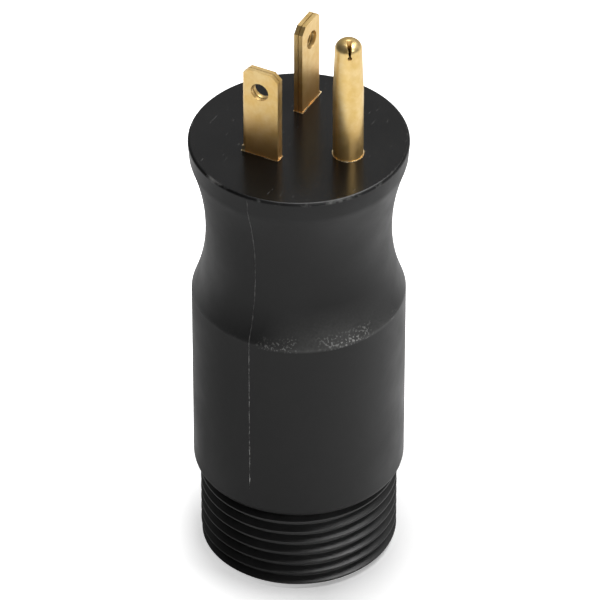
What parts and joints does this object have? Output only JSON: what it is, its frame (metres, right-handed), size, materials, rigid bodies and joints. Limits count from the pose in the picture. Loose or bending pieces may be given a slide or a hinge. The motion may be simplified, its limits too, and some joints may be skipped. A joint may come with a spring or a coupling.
{
  "type": "mains adapter plug",
  "caption": "Mains adapter plug: a waisted moulded grip carries flat blades and a round earth pin on its face, and a threaded coupling end with recessed socket contacts below.",
  "frame": {"origin": "on the axis, at the lower rim of the threaded end, which the part stands on", "axes": "+Z along the axis towards the prongs, +X from the line blade towards the neutral blade, earth pin at -Y"},
  "size_m": [0.035, 0.035, 0.1005],
  "materials": {
    "grip": "satin moulded, with a fine parting line",
    "sleeve": "smooth moulded",
    "carrier": "fine matt moulded",
    "retainer": "fine matt moulded",
    "bridge": "glass-filled, matt",
    "filling": "first-shot filling, matt",
    "prong": "stamped and polished",
    "contact": "turned",
    "copper": "bare stranded copper",
    "line_insulation": "extruded",
    "neutral_insulation": "extruded",
    "ground_insulation": "extruded"
  },
  "bodies": {
    "root": {"outer_body": "grip", "threaded_sleeve": "sleeve", "contact_carrier": "carrier", "contact_retainer": "retainer", "bridge": "bridge", "inner_mould": "filling", "line_blade": "prong", "neutral_blade": "prong", "ground_pin": "prong", "line_contact": "contact", "neutral_contact": "contact", "ground_contact": "contact", "line_core": "copper", "neutral_core": "copper", "ground_core": "copper", "line_jacket": "line_insulation", "neutral_jacket": "neutral_insulation", "ground_jacket": "ground_insulation"}
  },
  "joints": []
}
